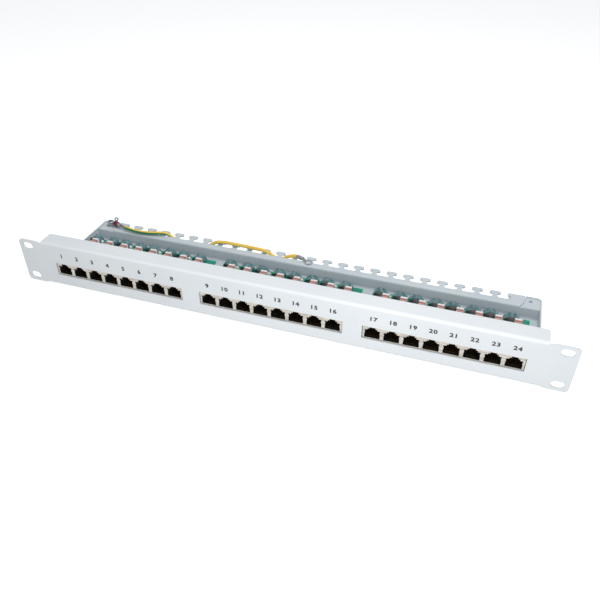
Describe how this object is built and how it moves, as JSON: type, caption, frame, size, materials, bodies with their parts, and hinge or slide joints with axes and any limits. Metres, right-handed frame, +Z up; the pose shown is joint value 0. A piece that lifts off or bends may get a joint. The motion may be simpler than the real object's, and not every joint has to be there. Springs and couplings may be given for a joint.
{
  "type": "patch panel",
  "caption": "Rack-mount patch panel with shielded modular sockets, an open wiring tray with cable-tie tabs behind, and an earth lead.",
  "frame": {"origin": "centre of the four rack slots, on the rear face of the panel sheet, which rests on the rack rails", "axes": "+X to the right along the panel seen from the front, +Y to the rear along the rack screws, +Z up"},
  "size_m": [0.4826, 0.0989, 0.0436],
  "materials": {
    "powder_coat": "light grey powder coat, fine texture, semi-gloss",
    "zinc_plate": "bright zinc plate",
    "nickel_plate": "satin nickel plate",
    "tin_plate": "tin plate, slightly dull",
    "gold_plate": "gold-plated phosphor bronze",
    "solder_mask": "green solder mask on glass-epoxy board",
    "black_plastic": "moulded black polyester",
    "white_plastic": "moulded white polycarbonate",
    "red_insulation": "translucent red crimp insulation",
    "lead_jacket": "green and yellow striped vinyl sheath"
  },
  "bodies": {
    "panel": {"front_panel": "powder_coat", "rear_tray": "powder_coat", "tray_rivets": "zinc_plate", "circuit_board_1": "solder_mask", "jack_shield_1": "nickel_plate", "jack_housing_1": "black_plastic", "wiring_blocks_1": "white_plastic", "wiring_blades_1": "tin_plate", "shield_saddles_1": "tin_plate", "circuit_board_2": "solder_mask", "jack_shield_2": "nickel_plate", "jack_housing_2": "black_plastic", "wiring_blocks_2": "white_plastic", "wiring_blades_2": "tin_plate", "shield_saddles_2": "tin_plate", "circuit_board_3": "solder_mask", "jack_shield_3": "nickel_plate", "jack_housing_3": "black_plastic", "wiring_blocks_3": "white_plastic", "wiring_blades_3": "tin_plate", "shield_saddles_3": "tin_plate", "board_standoffs": "zinc_plate", "board_screws": "zinc_plate", "corner_nuts": "zinc_plate", "earth_screw": "zinc_plate", "star_washer": "zinc_plate", "earth_tag": "tin_plate", "earth_lug": "tin_plate", "bare_strands": "tin_plate", "free_lug": "tin_plate", "lug_sleeve": "red_insulation", "earth_lead": "lead_jacket"},
    "springs_01": {"contact_springs_01": "gold_plate"},
    "springs_02": {"contact_springs_02": "gold_plate"},
    "springs_03": {"contact_springs_03": "gold_plate"},
    "springs_04": {"contact_springs_04": "gold_plate"},
    "springs_05": {"contact_springs_05": "gold_plate"},
    "springs_06": {"contact_springs_06": "gold_plate"},
    "springs_07": {"contact_springs_07": "gold_plate"},
    "springs_08": {"contact_springs_08": "gold_plate"},
    "springs_09": {"contact_springs_09": "gold_plate"},
    "springs_10": {"contact_springs_10": "gold_plate"},
    "springs_11": {"contact_springs_11": "gold_plate"},
    "springs_12": {"contact_springs_12": "gold_plate"},
    "springs_13": {"contact_springs_13": "gold_plate"},
    "springs_14": {"contact_springs_14": "gold_plate"},
    "springs_15": {"contact_springs_15": "gold_plate"},
    "springs_16": {"contact_springs_16": "gold_plate"},
    "springs_17": {"contact_springs_17": "gold_plate"},
    "springs_18": {"contact_springs_18": "gold_plate"},
    "springs_19": {"contact_springs_19": "gold_plate"},
    "springs_20": {"contact_springs_20": "gold_plate"},
    "springs_21": {"contact_springs_21": "gold_plate"},
    "springs_22": {"contact_springs_22": "gold_plate"},
    "springs_23": {"contact_springs_23": "gold_plate"},
    "springs_24": {"contact_springs_24": "gold_plate"}
  },
  "joints": [
    {"name": "springs_01_flex", "type": "hinge", "parent": "panel", "child": "springs_01", "pos_m": [-0.19831, 0.0025, -0.00825], "axis": [-1, 0, 0], "range_deg": [0, 12], "stiffness_Nm_per_rad": 0.2},
    {"name": "springs_02_flex", "type": "hinge", "parent": "panel", "child": "springs_02", "pos_m": [-0.18258, 0.0025, -0.00825], "axis": [-1, 0, 0], "range_deg": [0, 12], "stiffness_Nm_per_rad": 0.2},
    {"name": "springs_03_flex", "type": "hinge", "parent": "panel", "child": "springs_03", "pos_m": [-0.16686, 0.0025, -0.00825], "axis": [-1, 0, 0], "range_deg": [0, 12], "stiffness_Nm_per_rad": 0.2},
    {"name": "springs_04_flex", "type": "hinge", "parent": "panel", "child": "springs_04", "pos_m": [-0.15113, 0.0025, -0.00825], "axis": [-1, 0, 0], "range_deg": [0, 12], "stiffness_Nm_per_rad": 0.2},
    {"name": "springs_05_flex", "type": "hinge", "parent": "panel", "child": "springs_05", "pos_m": [-0.13539, 0.0025, -0.00825], "axis": [-1, 0, 0], "range_deg": [0, 12], "stiffness_Nm_per_rad": 0.2},
    {"name": "springs_06_flex", "type": "hinge", "parent": "panel", "child": "springs_06", "pos_m": [-0.11966, 0.0025, -0.00825], "axis": [-1, 0, 0], "range_deg": [0, 12], "stiffness_Nm_per_rad": 0.2},
    {"name": "springs_07_flex", "type": "hinge", "parent": "panel", "child": "springs_07", "pos_m": [-0.10393, 0.0025, -0.00825], "axis": [-1, 0, 0], "range_deg": [0, 12], "stiffness_Nm_per_rad": 0.2},
    {"name": "springs_08_flex", "type": "hinge", "parent": "panel", "child": "springs_08", "pos_m": [-0.08821, 0.0025, -0.00825], "axis": [-1, 0, 0], "range_deg": [0, 12], "stiffness_Nm_per_rad": 0.2},
    {"name": "springs_09_flex", "type": "hinge", "parent": "panel", "child": "springs_09", "pos_m": [-0.05505, 0.0025, -0.00825], "axis": [-1, 0, 0], "range_deg": [0, 12], "stiffness_Nm_per_rad": 0.2},
    {"name": "springs_10_flex", "type": "hinge", "parent": "panel", "child": "springs_10", "pos_m": [-0.03932, 0.0025, -0.00825], "axis": [-1, 0, 0], "range_deg": [0, 12], "stiffness_Nm_per_rad": 0.2},
    {"name": "springs_11_flex", "type": "hinge", "parent": "panel", "child": "springs_11", "pos_m": [-0.0236, 0.0025, -0.00825], "axis": [-1, 0, 0], "range_deg": [0, 12], "stiffness_Nm_per_rad": 0.2},
    {"name": "springs_12_flex", "type": "hinge", "parent": "panel", "child": "springs_12", "pos_m": [-0.00787, 0.0025, -0.00825], "axis": [-1, 0, 0], "range_deg": [0, 12], "stiffness_Nm_per_rad": 0.2},
    {"name": "springs_13_flex", "type": "hinge", "parent": "panel", "child": "springs_13", "pos_m": [0.00787, 0.0025, -0.00825], "axis": [-1, 0, 0], "range_deg": [0, 12], "stiffness_Nm_per_rad": 0.2},
    {"name": "springs_14_flex", "type": "hinge", "parent": "panel", "child": "springs_14", "pos_m": [0.0236, 0.0025, -0.00825], "axis": [-1, 0, 0], "range_deg": [0, 12], "stiffness_Nm_per_rad": 0.2},
    {"name": "springs_15_flex", "type": "hinge", "parent": "panel", "child": "springs_15", "pos_m": [0.03932, 0.0025, -0.00825], "axis": [-1, 0, 0], "range_deg": [0, 12], "stiffness_Nm_per_rad": 0.2},
    {"name": "springs_16_flex", "type": "hinge", "parent": "panel", "child": "springs_16", "pos_m": [0.05505, 0.0025, -0.00825], "axis": [-1, 0, 0], "range_deg": [0, 12], "stiffness_Nm_per_rad": 0.2},
    {"name": "springs_17_flex", "type": "hinge", "parent": "panel", "child": "springs_17", "pos_m": [0.08821, 0.0025, -0.00825], "axis": [-1, 0, 0], "range_deg": [0, 12], "stiffness_Nm_per_rad": 0.2},
    {"name": "springs_18_flex", "type": "hinge", "parent": "panel", "child": "springs_18", "pos_m": [0.10393, 0.0025, -0.00825], "axis": [-1, 0, 0], "range_deg": [0, 12], "stiffness_Nm_per_rad": 0.2},
    {"name": "springs_19_flex", "type": "hinge", "parent": "panel", "child": "springs_19", "pos_m": [0.11966, 0.0025, -0.00825], "axis": [-1, 0, 0], "range_deg": [0, 12], "stiffness_Nm_per_rad": 0.2},
    {"name": "springs_20_flex", "type": "hinge", "parent": "panel", "child": "springs_20", "pos_m": [0.13539, 0.0025, -0.00825], "axis": [-1, 0, 0], "range_deg": [0, 12], "stiffness_Nm_per_rad": 0.2},
    {"name": "springs_21_flex", "type": "hinge", "parent": "panel", "child": "springs_21", "pos_m": [0.15113, 0.0025, -0.00825], "axis": [-1, 0, 0], "range_deg": [0, 12], "stiffness_Nm_per_rad": 0.2},
    {"name": "springs_22_flex", "type": "hinge", "parent": "panel", "child": "springs_22", "pos_m": [0.16686, 0.0025, -0.00825], "axis": [-1, 0, 0], "range_deg": [0, 12], "stiffness_Nm_per_rad": 0.2},
    {"name": "springs_23_flex", "type": "hinge", "parent": "panel", "child": "springs_23", "pos_m": [0.18258, 0.0025, -0.00825], "axis": [-1, 0, 0], "range_deg": [0, 12], "stiffness_Nm_per_rad": 0.2},
    {"name": "springs_24_flex", "type": "hinge", "parent": "panel", "child": "springs_24", "pos_m": [0.19831, 0.0025, -0.00825], "axis": [-1, 0, 0], "range_deg": [0, 12], "stiffness_Nm_per_rad": 0.2}
  ]
}
